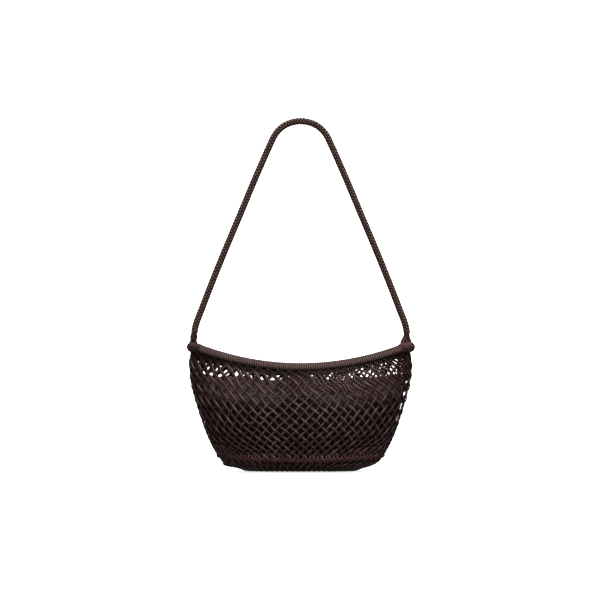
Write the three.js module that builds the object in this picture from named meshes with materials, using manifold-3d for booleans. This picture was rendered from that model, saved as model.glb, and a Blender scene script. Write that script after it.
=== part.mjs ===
// A netted leather shoulder bag with a braided strap, a bound rim, a flat base and an inner pouch.
// Millimetres, +Z up, front towards -Y. The bag hangs by its strap: the origin is the underside of
// the strap's top, where a hook or a shoulder holds it.
import * as THREE from "three";
import { mergeVertices } from "three/addons/utils/BufferGeometryUtils.js";
import Module from "manifold-3d";

// Driving dimensions
const bagWidth = 300; // across the two end wraps
const hangHeight = 457; // from the flat of the base up to the hang point
const rimEndHeight = 165; // centre of the rim's ends above the flat of the base
const rimSag = 29; // dip of the rim between its ends
const rimEndDroop = 2.5; // by which its two ends turn down again
const rimHalfDepth = 34; // middle of the mouth to the centre of the rim
const rimDiameter = 10.5;
const wrapThickness = 1;
const wrapTurn = 25; // degrees of the rim's oval under each half of an end wrap
const strapDiameter = 7.5;
const netThickness = 2.5;
const netCellsAround = 18;
const netHalfRows = 7; // half rows of diamonds between the base seam and the rim
const netOpenShare = 0.7; // width of a gap as a share of its diamond
const seamHeight = 16; // at the middle of the front
const seamEndRise = 5.5; // rise of the base seam towards the bag's ends
const seamHalfWidth = 107.6;
const seamDiameter = 5;
const baseThickness = 2.5;
const pouchThickness = 1.5;
const pouchEdgeHeight = 118; // usual height of the pouch's edge above the flat of the base
const pouchPeak = 12; // rise of the gathered middle of that edge
const pouchPeakReach = 17;
const pouchEndRise = 10; // rise of that edge towards the bag's ends
const clearance = 0.3; // between pieces that touch

const rimRadius = rimDiameter / 2;
const wrapInner = rimRadius + clearance + 0.25;
const wrapOuter = wrapInner + wrapThickness;
const rimHalfWidth = bagWidth / 2 - wrapOuter;
const seamReach = seamDiameter / 2 + clearance;
const netBottom = seamHeight + seamReach + 0.05;
const netTop = rimEndHeight - rimEndDroop - wrapOuter - 1.5 * clearance;
const baseTop = seamHeight - seamReach + 0.4;

// Skin of the bag at its two ends, from the flat of the base up to the rim
const skinTable = [
  { height: 0, halfWidth: 72, halfDepth: 28, corner: 0.85 },
  { height: 4, halfWidth: 83.5, halfDepth: 33, corner: 0.85 },
  { height: 9, halfWidth: 99.2, halfDepth: 38.5, corner: 0.87 },
  { height: seamHeight, halfWidth: seamHalfWidth, halfDepth: 42, corner: 0.9 },
  { height: 40, halfWidth: 120.6, halfDepth: 47, corner: 0.95 },
  { height: 75, halfWidth: 132.7, halfDepth: 49, corner: 1 },
  { height: 112, halfWidth: 142.6, halfDepth: 44.5, corner: 1 },
  { height: 138, halfWidth: 145, halfDepth: 39, corner: 1 },
  { height: netTop, halfWidth: 143.5, halfDepth: rimHalfDepth, corner: 1 },
];

// Sections of the inner pouch, by share of its height
const pouchTable = [
  { height: 0, halfWidth: 62, halfDepth: 21, corner: 0.85 },
  { height: 0.06, halfWidth: 83, halfDepth: 30, corner: 0.85 },
  { height: 0.25, halfWidth: 109, halfDepth: 39, corner: 0.85 },
  { height: 0.55, halfWidth: 125, halfDepth: 42, corner: 0.85 },
  { height: 0.82, halfWidth: 134, halfDepth: 38, corner: 0.85 },
  { height: 1, halfWidth: 138.5, halfDepth: 33, corner: 0.85 },
];

// Right half of the strap's centre line, from the hang point to its foot, as x and z from the origin
const strapHalf = [
  [0, 3.75], [11.1, 2.3], [21.3, -2], [29.7, -9], [35.2, -16.8], [38.7, -24], [59.9, -72.5],
  [80.4, -122], [101, -171.5], [118.2, -214.7], [130, -245.6], [135.7, -260.5],
  [138.2, -269], [139.3, -276],
];

function radians(degrees) {
  return (degrees * Math.PI) / 180;
}

// A column of a table at a height between its rows, along a smooth curve through the rows
function column(table, key, height) {
  let row = 0;
  while (row < table.length - 2 && height > table[row + 1].height) {
    row += 1;
  }
  const slope = (k) => {
    const before = table[Math.max(k - 1, 0)];
    const after = table[Math.min(k + 1, table.length - 1)];
    return (after[key] - before[key]) / (after.height - before.height);
  };
  const low = table[row];
  const high = table[row + 1];
  const span = high.height - low.height;
  const t = (height - low.height) / span;
  const rise = low[key] * (1 + 2 * t) * (1 - t) ** 2 + high[key] * t * t * (3 - 2 * t);
  return rise + span * (slope(row) * t * (1 - t) ** 2 - slope(row + 1) * t * t * (1 - t));
}

function bent(value, power) {
  return Math.sign(value) * Math.abs(value) ** power;
}

// A point of an oval section in plan
function ovalPoint(table, height, angle) {
  const corner = column(table, "corner", height);
  return new THREE.Vector2(
    column(table, "halfWidth", height) * bent(Math.cos(angle), corner),
    column(table, "halfDepth", height) * bent(Math.sin(angle), corner),
  );
}

// The angles that part an oval section into equal lengths, by quarter cells
const angleTables = new Map();
function evenAngles(table, height, count) {
  const name = `${table.length} ${height} ${count}`;
  if (angleTables.has(name)) {
    return angleTables.get(name);
  }
  const fine = 720;
  const lengths = [0];
  for (let k = 1; k <= fine; k += 1) {
    const here = ovalPoint(table, height, (2 * Math.PI * k) / fine);
    const last = ovalPoint(table, height, (2 * Math.PI * (k - 1)) / fine);
    lengths.push(lengths[k - 1] + here.distanceTo(last));
  }
  const angles = [];
  for (let k = 0, at = 0; k < count; k += 1) {
    const wanted = (lengths[fine] * k) / count;
    while (lengths[at + 1] < wanted) {
      at += 1;
    }
    const part = (wanted - lengths[at]) / (lengths[at + 1] - lengths[at]);
    angles.push((2 * Math.PI * (at + part)) / fine);
  }
  angleTables.set(name, angles);
  return angles;
}

// The angle at a share of the way round an oval section
function angleAt(table, height, share) {
  const angles = evenAngles(table, height, 288);
  const place = (((share % 1) + 1) % 1) * angles.length;
  const low = Math.floor(place);
  const here = angles[low % angles.length];
  const next = low + 1 < angles.length ? angles[low + 1] : 2 * Math.PI;
  return here + (next - here) * (place - low);
}

function rimHeight(x) {
  const droop = rimEndDroop * THREE.MathUtils.smoothstep(Math.abs(x), rimHalfWidth - 12, rimHalfWidth);
  return rimEndHeight - droop - rimSag * (1 - (x / rimHalfWidth) ** 2);
}

// Underside of the rim, or of the end wrap where one covers it
function rimUnderside(angle) {
  const x = rimHalfWidth * Math.cos(angle);
  const wrapStart = rimHalfWidth * Math.cos(radians(wrapTurn));
  const covered = THREE.MathUtils.smoothstep(Math.abs(x), wrapStart - 26, wrapStart - 9);
  return rimHeight(x) - 1.5 * clearance - THREE.MathUtils.lerp(rimRadius, wrapOuter, covered);
}

// A point of the skin: it follows the rise of the base seam's ends, and above them the dip of the rim
function skinPoint(height, angle) {
  const plan = ovalPoint(skinTable, height, angle);
  const rise = seamEndRise * (plan.x / seamHalfWidth) ** 2;
  if (height <= seamHeight) {
    return new THREE.Vector3(plan.x, plan.y, height + rise * Math.min(1, height / baseTop) ** 1.5);
  }
  const share = (height - seamHeight) / (netTop - seamHeight);
  const top = rimUnderside(angle);
  return new THREE.Vector3(plan.x, plan.y, THREE.MathUtils.lerp(seamHeight + rise, top, share));
}

// The net's lattice: a place is cells round the bag and half rows up from the base seam
function netPoint(cell, row, offset) {
  const place = (c, r) => {
    const height = netBottom + ((netTop - netBottom) * r) / netHalfRows;
    return skinPoint(height, angleAt(skinTable, height, c / netCellsAround));
  };
  const along = place(cell + 0.02, row).sub(place(cell - 0.02, row));
  const up = place(cell, row + 0.02).sub(place(cell, row - 0.02));
  const out = along.cross(up).normalize();
  return place(cell, row).addScaledVector(out, offset);
}

function addQuad(list, a, b, c, d) {
  list.push(a, b, c, a, c, d);
}

function addBand(list, lower, upper) {
  lower.forEach((point, k) => {
    const next = (k + 1) % lower.length;
    addQuad(list, point, lower[next], upper[next], upper[k]);
  });
}

function addFan(list, ring) {
  const centre = ring.reduce((sum, p) => sum.add(p), new THREE.Vector3()).divideScalar(ring.length);
  ring.forEach((point, k) => list.push(centre, point, ring[(k + 1) % ring.length]));
}

function geometryOf(list) {
  return mergeVertices(new THREE.BufferGeometry().setFromPoints(list), 1e-3);
}

// The net: diamonds with a gap in each, half diamonds left whole along the rim and the base seam
function netGeometry() {
  const list = [];
  const half = netThickness / 2;
  const round = (cell) => (cell + netCellsAround) % netCellsAround;
  const both = (cell, row) => ({
    outer: netPoint(round(cell), row, half),
    inner: netPoint(round(cell), row, -half),
  });
  const addPlate = (a, b, c) => {
    list.push(a.outer, b.outer, c.outer);
    list.push(a.inner, c.inner, b.inner);
  };
  const outline = [
    [0, -1], [0.25, -0.5], [0.5, 0], [0.25, 0.5], [0, 1], [-0.25, 0.5], [-0.5, 0], [-0.25, -0.5],
  ];
  for (let row = 0; row <= netHalfRows; row += 1) {
    for (let k = 0; k < netCellsAround; k += 1) {
      const cell = k + (row % 2) / 2;
      if (row === 0 || row === netHalfRows) {
        const kept = outline.filter(([, up]) => (row === 0 ? up >= 0 : up <= 0));
        const start = row === 0 ? 0 : kept.findIndex(([across]) => across === -0.5);
        const fan = [...kept.slice(start), ...kept.slice(0, start)];
        const middle = both(cell, row);
        const rim = fan.map(([across, up]) => both(cell + across, row + up));
        for (let n = 0; n + 1 < rim.length; n += 1) {
          addPlate(middle, rim[n], rim[n + 1]);
        }
        const last = rim[rim.length - 1];
        addQuad(list, rim[0].outer, middle.outer, middle.inner, rim[0].inner);
        addQuad(list, middle.outer, last.outer, last.inner, middle.inner);
        continue;
      }
      const edge = outline.map(([across, up]) => both(cell + across, row + up));
      const hole = outline.map(([across, up]) =>
        both(cell + across * netOpenShare, row + up * netOpenShare));
      edge.forEach((point, n) => {
        const next = (n + 1) % edge.length;
        addPlate(point, edge[next], hole[next]);
        addPlate(point, hole[next], hole[n]);
        addQuad(list, hole[n].outer, hole[next].outer, hole[next].inner, hole[n].inner);
      });
    }
  }
  return geometryOf(list);
}

// A bowl with a wall of its own: an outer and an inner surface, joined at the top edge
function bowlGeometry(outer, inner) {
  const list = [];
  for (let k = 0; k + 1 < outer.length; k += 1) {
    addBand(list, outer[k], outer[k + 1]);
    addBand(list, inner[k + 1], inner[k]);
  }
  addBand(list, outer[outer.length - 1], inner[inner.length - 1]);
  addFan(list, inner[0]);
  addFan(list, [...outer[0]].reverse());
  return geometryOf(list);
}

const bowlSides = 36;
function ringAngles(table, height) {
  return evenAngles(table, height, bowlSides);
}

function baseGeometry() {
  const heights = [0, 4, 9, baseTop];
  const ring = (height, inset, rise) =>
    ringAngles(skinTable, height).map((angle) => {
      const point = skinPoint(height, angle);
      const plan = new THREE.Vector2(point.x, point.y);
      plan.setLength(plan.length() - inset);
      return new THREE.Vector3(plan.x, plan.y, point.z + rise);
    });
  const outer = heights.map((height) => ring(height, 0, 0));
  const last = heights.length - 1;
  const inner = heights.map((height, k) => ring(height, baseThickness, k < last ? baseThickness : 0));
  return bowlGeometry(outer, inner);
}

// Height of the pouch's edge above the flat of the base
function pouchEdge(x) {
  const middle = pouchPeak * Math.exp(-((x / pouchPeakReach) ** 2));
  const ends = pouchEndRise * (x / pouchTable[pouchTable.length - 1].halfWidth) ** 2;
  return pouchEdgeHeight + middle + ends;
}

function pouchGeometry() {
  const floor = baseThickness + clearance;
  const shares = [0, 0.06, 0.25, 0.4, 0.55, 0.7, 0.82, 0.92, 1];
  const ring = (share, inset, rise) =>
    ringAngles(pouchTable, share).map((angle) => {
      const plan = ovalPoint(pouchTable, share, angle);
      const gather = 1.5 * share ** 2 * Math.cos(10 * angle);
      plan.setLength(plan.length() - inset + gather);
      return new THREE.Vector3(plan.x, plan.y, floor + rise + share * (pouchEdge(plan.x) - floor));
    });
  const outer = shares.map((share) => ring(share, 0, 0));
  const inner = shares.map((share) =>
    ring(share, pouchThickness, pouchThickness * (1 - share)));
  return bowlGeometry(outer, inner);
}

// A closed or open line whose steps follow its own parameter, closer together at the bag's ends
class EvenTurnCurve extends THREE.Curve {
  constructor(place) {
    super();
    this.place = place;
  }
  getPoint(t) {
    return this.place(t);
  }
  getPointAt(t) {
    return this.place(t);
  }
  getTangentAt(t) {
    return this.getTangent(t);
  }
}

function rimPoint(angle) {
  const x = rimHalfWidth * Math.cos(angle);
  return new THREE.Vector3(x, rimHalfDepth * Math.sin(angle), rimHeight(x));
}

function roundShape(radius, sides) {
  const corners = [];
  for (let k = 0; k < sides; k += 1) {
    const angle = (2 * Math.PI * k) / sides;
    corners.push(new THREE.Vector2(radius * Math.cos(angle), radius * Math.sin(angle)));
  }
  return new THREE.Shape(corners);
}

function wrapPath(middle, turn) {
  return new EvenTurnCurve((t) => rimPoint(radians(middle + turn * (2 * t - 1))));
}

function wrapGeometry(middle) {
  const shape = roundShape(wrapOuter, 12);
  shape.holes.push(new THREE.Path(roundShape(wrapInner, 12).getPoints().reverse()));
  const path = wrapPath(middle, wrapTurn);
  return new THREE.ExtrudeGeometry(shape, { steps: 10, bevelEnabled: false, extrudePath: path });
}

const wasm = await Module();
wasm.setup();

function solidOf(geometry) {
  const bare = new THREE.BufferGeometry();
  bare.setAttribute("position", geometry.getAttribute("position").clone());
  if (geometry.index) {
    bare.setIndex(geometry.index.clone());
  }
  const merged = mergeVertices(bare, 1e-4);
  const mesh = new wasm.Mesh({
    numProp: 3,
    vertProperties: new Float32Array(merged.getAttribute("position").array),
    triVerts: new Uint32Array(merged.index.array),
  });
  return new wasm.Manifold(mesh);
}

function geometryFrom(solid) {
  const mesh = solid.getMesh();
  const geometry = new THREE.BufferGeometry();
  geometry.setAttribute("position", new THREE.BufferAttribute(mesh.vertProperties, 3));
  geometry.setIndex(new THREE.BufferAttribute(mesh.triVerts, 1));
  return geometry;
}

// The splayed foot of the strap: a flared plug, hollowed underneath to sit on the end wrap
function footGeometry(side) {
  const [footX, footZ] = strapHalf[strapHalf.length - 1];
  const top = hangHeight + footZ - 2 * clearance;
  const bottom = rimEndHeight - rimEndDroop + 1.5;
  const profile = [
    [0, bottom], [6.6, bottom], [7, bottom + 3], [6.4, bottom + 7], [5.2, bottom + 11],
    [4.3, top - 1], [3.9, top], [0, top],
  ];
  const plug = new THREE.LatheGeometry(profile.map(([r, z]) => new THREE.Vector2(r, z)), 14);
  plug.rotateX(Math.PI / 2);
  plug.translate(side * footX, 0, 0);
  const middle = side > 0 ? 0 : 180;
  const under = new THREE.ExtrudeGeometry(roundShape(wrapOuter + clearance + 0.3, 18), {
    steps: 16,
    bevelEnabled: false,
    extrudePath: wrapPath(middle, wrapTurn + 6),
  });
  return geometryFrom(solidOf(plug).subtract(solidOf(under)));
}

function strapGeometry() {
  const right = strapHalf.map(([x, z]) => new THREE.Vector3(x, 0, z + hangHeight));
  const left = strapHalf.slice(1).map(([x, z]) => new THREE.Vector3(-x, 0, z + hangHeight));
  const route = new THREE.CatmullRomCurve3([...left.reverse(), ...right], false, "centripetal");
  return new THREE.ExtrudeGeometry(roundShape(strapDiameter / 2, 10), {
    steps: 54,
    bevelEnabled: false,
    extrudePath: route,
  });
}

function rimGeometry() {
  const loop = new EvenTurnCurve((t) => rimPoint(2 * Math.PI * t));
  return new THREE.TubeGeometry(loop, 56, rimRadius, 10, true);
}

function seamGeometry() {
  const loop = new EvenTurnCurve((t) => skinPoint(seamHeight, angleAt(skinTable, seamHeight, t)));
  return new THREE.TubeGeometry(loop, 48, seamDiameter / 2, 6, true);
}

const cordLeather = new THREE.MeshStandardMaterial({ color: 0x4a3531, roughness: 0.5 });
const boundLeather = new THREE.MeshStandardMaterial({ color: 0x563f3a, roughness: 0.5 });
const pouchCloth = new THREE.MeshStandardMaterial({ color: 0x3a2f2c, roughness: 0.8 });

const bag = new THREE.Group();
bag.position.z = -hangHeight;

function addPiece(name, geometry, material) {
  const mesh = new THREE.Mesh(geometry, material);
  mesh.name = name;
  bag.add(mesh);
}

addPiece("strap", strapGeometry(), cordLeather);
addPiece("strap_foot_left", footGeometry(-1), cordLeather);
addPiece("strap_foot_right", footGeometry(1), cordLeather);
addPiece("end_wrap_left", wrapGeometry(180), boundLeather);
addPiece("end_wrap_right", wrapGeometry(0), boundLeather);
addPiece("rim", rimGeometry(), boundLeather);
addPiece("net_body", netGeometry(), cordLeather);
addPiece("base_seam", seamGeometry(), cordLeather);
addPiece("base_net", baseGeometry(), cordLeather);
addPiece("inner_pouch", pouchGeometry(), pouchCloth);

const group = new THREE.Group();
group.add(bag);
export default group;
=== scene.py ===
import math

import bmesh
import bpy
import numpy as np
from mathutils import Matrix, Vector, noise


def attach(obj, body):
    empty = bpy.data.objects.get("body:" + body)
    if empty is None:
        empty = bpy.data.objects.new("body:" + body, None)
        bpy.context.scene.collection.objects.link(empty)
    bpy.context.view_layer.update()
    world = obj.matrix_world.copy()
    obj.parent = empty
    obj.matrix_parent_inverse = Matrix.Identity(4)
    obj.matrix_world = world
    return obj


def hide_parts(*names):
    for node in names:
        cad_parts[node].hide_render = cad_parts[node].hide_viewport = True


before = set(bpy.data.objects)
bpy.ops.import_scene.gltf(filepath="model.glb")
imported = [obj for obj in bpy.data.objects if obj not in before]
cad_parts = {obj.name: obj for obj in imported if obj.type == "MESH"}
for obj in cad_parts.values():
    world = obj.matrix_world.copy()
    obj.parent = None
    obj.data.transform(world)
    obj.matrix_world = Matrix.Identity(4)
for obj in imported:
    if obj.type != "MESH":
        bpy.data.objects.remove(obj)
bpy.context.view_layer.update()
dice = np.random.default_rng(11)
mm = 0.001

# Form of the bag in millimetres above the flat of the base, as the solids have it
bagForm = {
    "hangHeight": 457,
    "rimEndHeight": 165,
    "rimSag": 29,
    "rimEndDroop": 2.5,    # by which the rim's ends turn down again
    "rimEndRun": 12,       # and the stretch in which they do
    "rimHalfWidth": 143.2,
    "rimHalfDepth": 34,
    "rimRadius": 5.25,
    "rimGap": 0.45,        # between the rim and the net
    "wrapRadius": 6.8,
    "wrapTurn": 25,        # degrees of the rim's oval under each half of an end wrap
    "wrapNear": (26, 9),   # stretch before a wrap in which the net's edge comes down to pass under it
    "seamHeight": 16,
    "seamEndRise": 5.5,    # the seam's ends stand higher than its middle
    "seamRiseCurve": 1.5,  # and the base below follows slowly
    "seamHalfWidth": 107.6,
    "baseTop": 13.6,
    "netBottom": 18.85,
    "netTop": 155.25,
}
# Skin of the bag: height, half width, half depth, corner
skinRows = [
    (0, 72, 28, 0.85),
    (4, 83.5, 33, 0.85),
    (9, 99.2, 38.5, 0.87),
    (16, 107.6, 42, 0.9),
    (40, 120.6, 47, 0.95),
    (75, 132.7, 49, 1),
    (112, 142.6, 44.5, 1),
    (138, 145, 39, 1),
    (155.25, 143.5, 34, 1),
]
ovalSteps = 720
lineStep = 2 * mm  # between points, where only the length of a line is wanted
upward = np.array([0, 0, 1.0])


def rowValue(rows, column, height):
    # smooth curve through a column of the rows, held at the two ends
    height = min(max(height, rows[0][0]), rows[-1][0])
    k = 0
    while k < len(rows) - 2 and height > rows[k + 1][0]:
        k += 1

    def slope(n):
        a = rows[max(n - 1, 0)]
        b = rows[min(n + 1, len(rows) - 1)]
        return (b[column] - a[column]) / (b[0] - a[0])

    low, high = rows[k], rows[k + 1]
    span = high[0] - low[0]
    t = (height - low[0]) / span
    value = low[column] * (1 + 2 * t) * (1 - t) ** 2 + high[column] * t * t * (3 - 2 * t)
    return value + span * (slope(k) * t * (1 - t) ** 2 - slope(k + 1) * t * t * (1 - t))


def planLoop(rows, height, count):
    # an oval section as points equally spaced along it, from the right end counter-clockwise
    halfWidth, halfDepth, corner = (rowValue(rows, n, height) for n in (1, 2, 3))
    angle = np.linspace(0, 2 * math.pi, ovalSteps + 1)
    x = halfWidth * np.sign(np.cos(angle)) * np.abs(np.cos(angle)) ** corner
    y = halfDepth * np.sign(np.sin(angle)) * np.abs(np.sin(angle)) ** corner
    along = np.concatenate([[0], np.cumsum(np.hypot(np.diff(x), np.diff(y)))])
    share = np.interp(np.arange(count) / count * along[-1], along, angle)
    return np.interp(share, angle, x), np.interp(share, angle, y), share


def smooth(value, low, high):
    # from 0 at low to 1 at high
    t = np.clip((value - low) / (high - low), 0, 1)
    return t * t * (3 - 2 * t)


def rimHeight(x):
    half = bagForm["rimHalfWidth"]
    droop = bagForm["rimEndDroop"] * smooth(np.abs(x), half - bagForm["rimEndRun"], half)
    return bagForm["rimEndHeight"] - droop - bagForm["rimSag"] * (1 - (x / half) ** 2)


def rimUnderside(angle):
    # where the net ends, under the rim or under the wrap that covers it
    half = bagForm["rimHalfWidth"]
    x = half * np.cos(angle)
    wrapStart = half * math.cos(math.radians(bagForm["wrapTurn"]))
    far, near = bagForm["wrapNear"]
    covered = smooth(np.abs(x), wrapStart - far, wrapStart - near)
    radius = bagForm["rimRadius"] + (bagForm["wrapRadius"] - bagForm["rimRadius"]) * covered
    return rimHeight(x) - bagForm["rimGap"] - radius


def skinHeight(height, x, angle):
    # height of the skin above the base, between the seam and the underside of the rim
    seamTop = bagForm["seamHeight"]
    lift = bagForm["seamEndRise"] * (x / bagForm["seamHalfWidth"]) ** 2
    if height <= seamTop:
        height = max(height, 0.0)
        return height + lift * min(1, height / bagForm["baseTop"]) ** bagForm["seamRiseCurve"]
    share = (height - seamTop) / (bagForm["netTop"] - seamTop)
    return (seamTop + lift) * (1 - share) + share * rimUnderside(angle)


def inFrame(x, y, z):
    # millimetres above the base to metres from the hang point
    return Vector((x, y, z - bagForm["hangHeight"])) * mm


def rimPoint(angle):
    # centre of the rim
    x = bagForm["rimHalfWidth"] * math.cos(angle)
    return inFrame(x, bagForm["rimHalfDepth"] * math.sin(angle), rimHeight(x))


def srgb(hexColour):
    # hex colour to linear
    parts = [int(hexColour[k:k + 2], 16) / 255 for k in (1, 3, 5)]
    return [p / 12.92 if p <= 0.04045 else ((p + 0.055) / 1.055) ** 2.4 for p in parts] + [1]


def addNode(tree, kind, settings=None, links=None):
    # one shader node with its settings, and links as input: (node, output)
    node = tree.nodes.new("ShaderNode" + kind)
    for key, value in (settings or {}).items():
        if isinstance(key, int) or key in node.inputs:
            node.inputs[key].default_value = value
        else:
            setattr(node, key, value)
    for key, (source, output) in (links or {}).items():
        tree.links.new(source.outputs[output], node.inputs[key])
    return node


def newMaterial(name):
    made = bpy.data.materials.new(name)
    made.use_nodes = True
    made.node_tree.nodes.clear()
    return made, made.node_tree


def meshObject(name, mesh):
    made = bpy.data.objects.new(name, mesh)
    bpy.context.scene.collection.objects.link(made)
    return made


def unit(vectors):
    return vectors / np.maximum(np.linalg.norm(vectors, axis=-1, keepdims=True), 1e-12)


def directions(points, closed=False):
    # unit tangents along a line
    if closed:
        return unit(np.roll(points, -1, 0) - np.roll(points, 1, 0))
    return unit(np.gradient(points, axis=0))


def resample(points, step, closed=False):
    # points at even steps along a line, and its length
    points = np.asarray(points, float)
    if closed:
        points = np.vstack([points, points[:1]])
    along = np.concatenate([[0], np.cumsum(np.linalg.norm(np.diff(points, axis=0), axis=1))])
    wanted = np.linspace(0, along[-1], max(2, round(along[-1] / step)) + 1)
    made = np.stack([np.interp(wanted, along, points[:, k]) for k in range(3)], 1)
    return (made[:-1] if closed else made), along[-1]


edgeLightBand = (0.52, 0.92)  # shares of a strip's half width between which its painted edge highlight and shadow come in


def cordPiece(
    name, routes, width, sides=8, closed=False, hearts=None, normals=None, thick=None, edge=1, reach=(0, 1),
    tones=None, widths=1,
):
    # Cords along routes of points, made a mesh. Where normals are given the cords are strips that lie flat
    # to them, squarer the smaller edge is. Each point keeps its tone, its lift: how far it stands out from
    # the hearts, from 0 at the near end of reach to 1 at the far end, and for strips its painted edge
    # light:
    # 1 along the upper edge that faces out, for a painted highlight, and -1 along the lower, for a painted
    # shadow.
    curve = bpy.data.curves.new(name, "CURVE")
    curve.dimensions = "3D"
    curve.bevel_depth = width / 2 * mm
    curve.bevel_resolution = (sides - 4) // 2
    for route in routes:
        spline = curve.splines.new("POLY")
        spline.points.add(len(route) - 1)
        spline.points.foreach_set("co", np.hstack([route, np.ones((len(route), 1))]).ravel())
        spline.use_cyclic_u = closed
    holder = meshObject(name + "Line", curve)
    bpy.context.view_layer.update()
    mesh = bpy.data.meshes.new_from_object(holder.evaluated_get(bpy.context.evaluated_depsgraph_get()))
    mesh.name = name
    bpy.data.objects.remove(holder)
    bpy.data.curves.remove(curve)
    rings = np.empty(len(mesh.vertices) * 3)
    mesh.vertices.foreach_get("co", rings)
    rings = rings.reshape(-1, sides, 3)
    counts = [len(route) for route in routes]
    middles = np.vstack(routes)
    hearts = middles if hearts is None else np.vstack(hearts)
    edgeLightShade = np.zeros(rings.shape[:2])
    if normals is not None:
        tangent = np.vstack([directions(route, closed) for route in routes])
        across = unit(np.cross(tangent, np.vstack(normals)))
        out = np.cross(across, tangent)[:, None]
        turn = (np.arange(sides) + 0.5) / sides * 2 * math.pi
        flat = np.sign(np.cos(turn)) * np.abs(np.cos(turn)) ** edge * width / 2 * mm
        rise = np.sign(np.sin(turn)) * np.abs(np.sin(turn)) ** edge * thick / 2 * mm
        flat = flat[None, :] * np.broadcast_to(widths, len(middles))[:, None]
        rings = middles[:, None] + across[:, None] * flat[..., None] + out * rise[None, :, None]
        mesh.vertices.foreach_set("co", rings.ravel())
        # painted highlight along the strip edge that faces up and out, painted shadow along the edge that
        # faces down
        upper = np.cos(turn) * np.sign(across[:, 2:])
        edgeLightShade = np.sign(upper) * np.interp(np.abs(upper), edgeLightBand, (0, 1)) * (np.sin(turn) > 0)
        lift = np.sum((rings - hearts[:, None]) * out, 2)
    else:
        lift = np.linalg.norm(rings - hearts[:, None], axis=2)
    lift = np.clip((lift / mm - reach[0]) / (reach[1] - reach[0]), 0, 1)
    tones = np.repeat(dice.random(len(routes)), counts) if tones is None else tones
    values = {"tone": np.repeat(tones, sides), "lift": lift.ravel(), "edgeLightShade": edgeLightShade.ravel()}
    for key, value in values.items():
        mesh.attributes.new(key, "FLOAT", "POINT").data.foreach_set("value", value)
    bm = bmesh.new()
    bm.from_mesh(mesh)
    if not closed:
        bmesh.ops.holes_fill(bm, edges=[e for e in bm.edges if e.is_boundary], sides=sides)
    bmesh.ops.recalc_face_normals(bm, faces=bm.faces)
    for face in bm.faces:
        face.smooth = len(face.verts) <= 4
    bm.to_mesh(mesh)
    bm.free()
    return meshObject(name, mesh)


def gridPiece(name, across, up, place, sizes=(1, 1), lift=None):
    # a grid of across by up faces, each corner moved to place(u, v) with u and v from 0 to 1, a UV map of
    # the two sizes in metres, and the lift of each corner where lift(u, v) is given
    bm = bmesh.new()
    bmesh.ops.create_grid(bm, x_segments=across, y_segments=up, size=0.5)
    layer = bm.loops.layers.uv.new("UVMap")
    lifts = bm.verts.layers.float.new("lift") if lift else None
    for face in bm.faces:
        face.smooth = True
        for loop in face.loops:
            loop[layer].uv = ((loop.vert.co.x + 0.5) * sizes[0], (loop.vert.co.y + 0.5) * sizes[1])
    for vert in bm.verts:
        u, v = vert.co.x + 0.5, vert.co.y + 0.5
        if lift:
            vert[lifts] = lift(u, v)
        vert.co = place(u, v)
    bmesh.ops.remove_doubles(bm, verts=bm.verts, dist=1e-6)
    bmesh.ops.recalc_face_normals(bm, faces=bm.faces)
    mesh = bpy.data.meshes.new(name)
    bm.to_mesh(mesh)
    bm.free()
    return meshObject(name, mesh)


# Camera a little below the rim, looking slightly up at the middle of the bag and its strap, in metres
cameraPlan = {
    "distance": 2.14,
    "side": -0.0008,
    "height": -0.36,
    "aim": -0.2329,
    "pictureWidth": 0.7875,  # of what shows at the bag's middle
    "sensor": 36,            # in millimetres
}
camera = bpy.data.objects.new("camera", bpy.data.cameras.new("camera"))
camera.data.sensor_width = cameraPlan["sensor"]
cameraAway = math.hypot(cameraPlan["distance"], cameraPlan["aim"] - cameraPlan["height"])
camera.data.lens = cameraPlan["sensor"] * cameraAway / cameraPlan["pictureWidth"]
camera.location = (cameraPlan["side"], -cameraPlan["distance"], cameraPlan["height"])
tilt = math.atan2(cameraPlan["aim"] - cameraPlan["height"], cameraPlan["distance"])
camera.rotation_euler = (math.radians(90) + tilt, 0, 0)
bpy.context.scene.collection.objects.link(camera)
bpy.context.scene.camera = camera
print("camera set, lens", round(camera.data.lens, 1))

# Strap: eight waxed cords in a round braid
strapPlan = {
    "ply": 4,        # cords that run each way
    "cord": 2.95,    # cord diameter
    "sides": 6,
    "middle": 2.95,  # braid radius at the middle of a cord
    "swing": 0.5,    # rise and fall over the crossings
    "lay": 16.8,     # length of one full turn
    "perTurn": 28,   # points in it
    "diameter": 7.5,
    "pathStep": 4,   # between the points that tell its path
    "wornAndShaded": 0.3,   # depth from the top of a cord over which it goes from painted shade to rubbed pale, as a share of the cord
}
# Right half of the strap's centre line, x and z in millimetres
strapHalf = [
    (0, 3.75), (11.1, 2.3), (21.3, -2), (29.7, -9), (35.2, -16.8), (38.7, -24), (59.9, -72.5),
    (80.4, -122), (101, -171.5), (118.2, -214.7), (130, -245.6), (135.7, -260.5),
    (138.2, -269), (139.3, -276),
]


def smoothRoute(points, perSpan=24):
    # centripetal curve through the points, as in the solids
    points = np.asarray(points, float)
    ends = np.vstack([2 * points[0] - points[1], points, 2 * points[-1] - points[-2]])
    made = []

    def mix(a, b, t0, t1, v):
        return (t1 - v) / (t1 - t0) * a + (v - t0) / (t1 - t0) * b

    for k in range(1, len(ends) - 2):
        p = ends[k - 1:k + 3]
        t = np.concatenate([[0], np.cumsum(np.linalg.norm(np.diff(p, axis=0), axis=1) ** 0.5)])
        for v in np.linspace(t[1], t[2], perSpan, endpoint=False):
            a = [mix(p[n], p[n + 1], t[n], t[n + 1], v) for n in range(3)]
            b = [mix(a[n], a[n + 1], t[n], t[n + 2], v) for n in range(2)]
            made.append(mix(b[0], b[1], t[1], t[2], v))
    made.append(points[-1])
    return np.array(made)


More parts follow.
